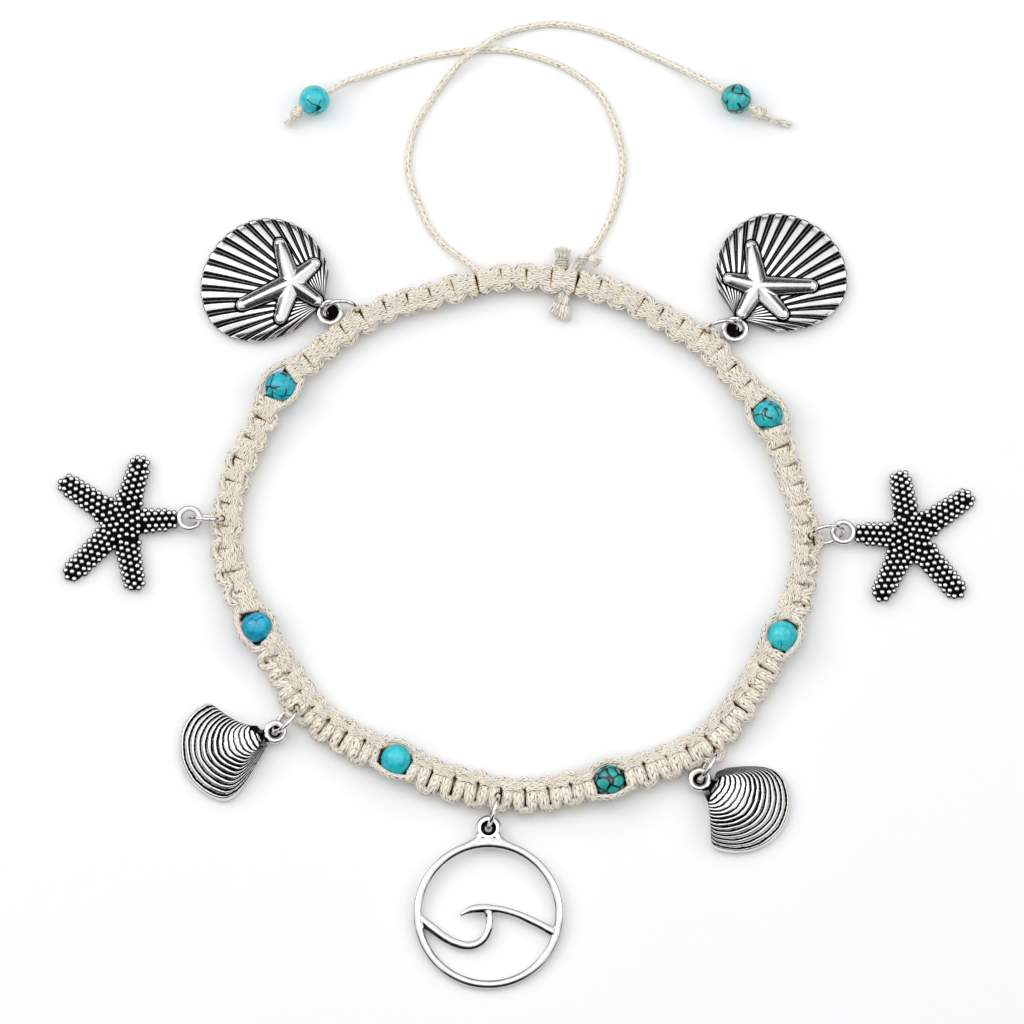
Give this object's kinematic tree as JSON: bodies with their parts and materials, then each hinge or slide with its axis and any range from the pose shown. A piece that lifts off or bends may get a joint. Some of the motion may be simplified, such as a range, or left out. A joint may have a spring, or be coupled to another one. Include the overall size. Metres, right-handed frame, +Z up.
{
  "type": "shell anklet",
  "caption": "Knotted cotton cord anklet laid flat, with turquoise beads, antique silver sea charms on jump rings and a sliding knot with two beaded tails",
  "frame": {"origin": "the middle of the ankle loop, on the surface that the anklet lies on", "axes": "+Z up from the surface that it lies on, +Y from the middle of the loop towards the sliding knot and the tails, +X to the right seen from above"},
  "size_m": [0.1218, 0.1311, 0.005],
  "materials": {
    "cotton_cord": "waxed braided cotton cord, natural cream",
    "turquoise": "polished dyed turquoise with dark matrix veins",
    "antique_silver": "antique silver plated casting, blackened recesses and bright high spots",
    "ring_wire": "polished silver-toned wire"
  },
  "bodies": {
    "root": {"knotted_band": "cotton_cord", "slide_knot": "cotton_cord", "bead_1": "turquoise", "bead_2": "turquoise", "bead_3": "turquoise", "bead_4": "turquoise", "bead_5": "turquoise", "bead_6": "turquoise", "tail_cord_left": "cotton_cord", "tail_cord_right": "cotton_cord", "tail_bead_left": "turquoise", "tail_bead_right": "turquoise", "tail_knot_left": "cotton_cord", "tail_knot_right": "cotton_cord", "ring_scallop_left": "ring_wire", "ring_starfish_left": "ring_wire", "ring_clam_left": "ring_wire", "ring_wave": "ring_wire", "ring_clam_right": "ring_wire", "ring_starfish_right": "ring_wire", "ring_scallop_right": "ring_wire", "scallop_left": "antique_silver", "scallop_right": "antique_silver", "starfish_left": "antique_silver", "starfish_right": "antique_silver", "clam_left": "antique_silver", "clam_right": "antique_silver", "wave_disc": "antique_silver"}
  },
  "joints": []
}
